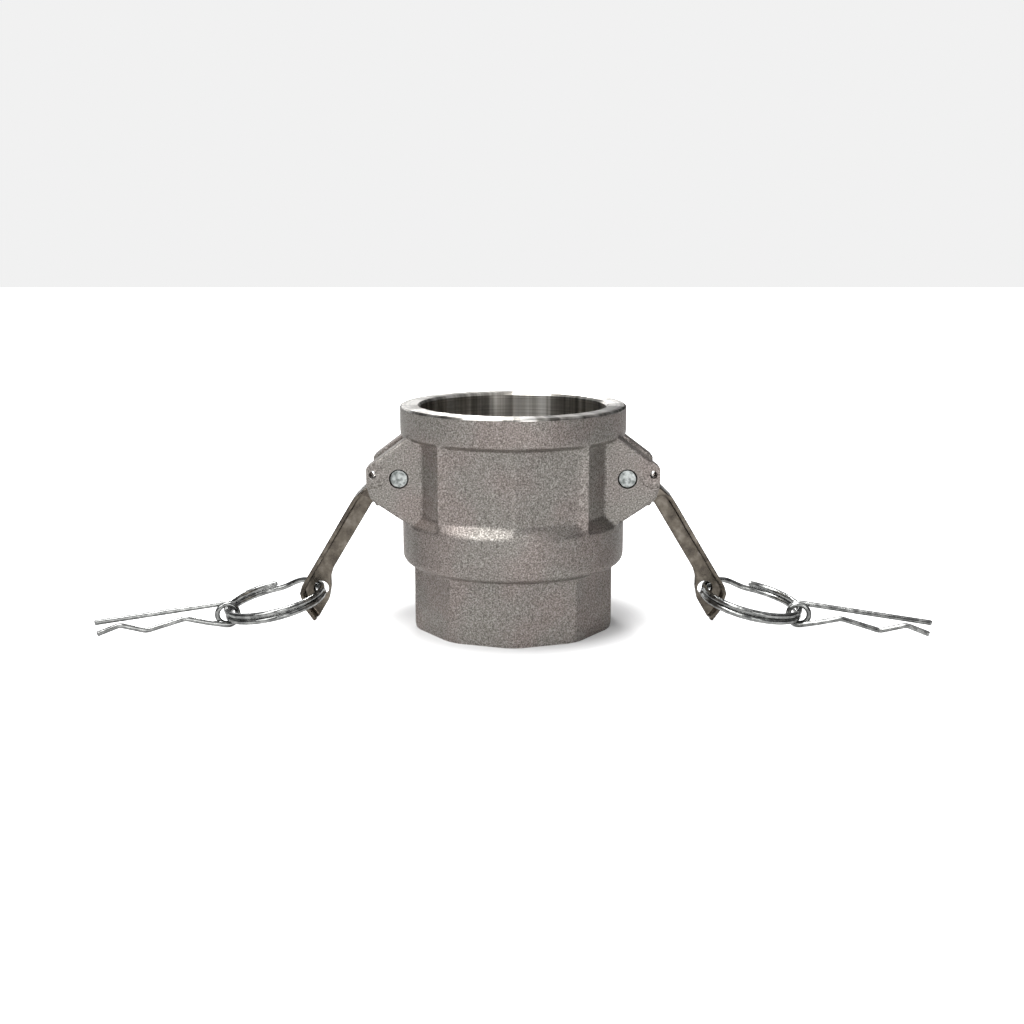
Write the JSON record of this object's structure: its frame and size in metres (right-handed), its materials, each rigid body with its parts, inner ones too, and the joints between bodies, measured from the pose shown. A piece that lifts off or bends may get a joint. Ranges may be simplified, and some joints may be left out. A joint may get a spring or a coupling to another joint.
{
  "type": "camlock coupling",
  "caption": "Cast stainless camlock female coupler with pipe thread end, cam arms, pull rings and wire safety clips.",
  "frame": {"origin": "centre of the thread-end face that the coupling stands on", "axes": "+Z is the bore axis towards the socket, X runs through the two cam arms"},
  "size_m": [0.2848, 0.078, 0.077],
  "materials": {
    "cast_steel": "sand cast and blasted",
    "gasket_rubber": "matte",
    "arm_steel": "tumbled satin",
    "pin_steel": "sheared and tumbled",
    "bright_wire": "bright drawn"
  },
  "bodies": {
    "root": {"coupler_body": "cast_steel", "face_gasket": "gasket_rubber", "left_pivot_pin": "pin_steel", "right_pivot_pin": "pin_steel"},
    "right_arm": {"right_cam_arm": "arm_steel"},
    "right_ring": {"right_pull_ring": "bright_wire"},
    "right_clip": {"right_safety_clip": "bright_wire"},
    "left_arm": {"left_cam_arm": "arm_steel"},
    "left_ring": {"left_pull_ring": "bright_wire"},
    "left_clip": {"left_safety_clip": "bright_wire"}
  },
  "joints": [
    {"name": "right_arm_hinge", "type": "hinge", "parent": "root", "child": "right_arm", "pos_m": [0.0384, 0, 0.0537], "axis": [0, -1, 0], "range_deg": [0, 105]},
    {"name": "right_ring_hinge", "type": "hinge", "parent": "right_arm", "child": "right_ring", "pos_m": [0.0679, 0, 0.0116], "axis": [-0.309, -0.9511, 0], "range_deg": [-80, 35]},
    {"name": "right_clip_hinge", "type": "hinge", "parent": "right_ring", "child": "right_clip", "pos_m": [0.09955, -0.01028, 0.00465], "axis": [-0.309, -0.9511, 0], "range_deg": [-60, 20]},
    {"name": "left_arm_hinge", "type": "hinge", "parent": "root", "child": "left_arm", "pos_m": [-0.0384, 0, 0.0537], "axis": [0, 1, 0], "range_deg": [0, 105]},
    {"name": "left_ring_hinge", "type": "hinge", "parent": "left_arm", "child": "left_ring", "pos_m": [-0.0679, 0, 0.0116], "axis": [-0.309, 0.9511, 0], "range_deg": [-80, 35]},
    {"name": "left_clip_hinge", "type": "hinge", "parent": "left_ring", "child": "left_clip", "pos_m": [-0.09955, -0.01028, 0.00465], "axis": [-0.309, 0.9511, 0], "range_deg": [-60, 20]}
  ]
}
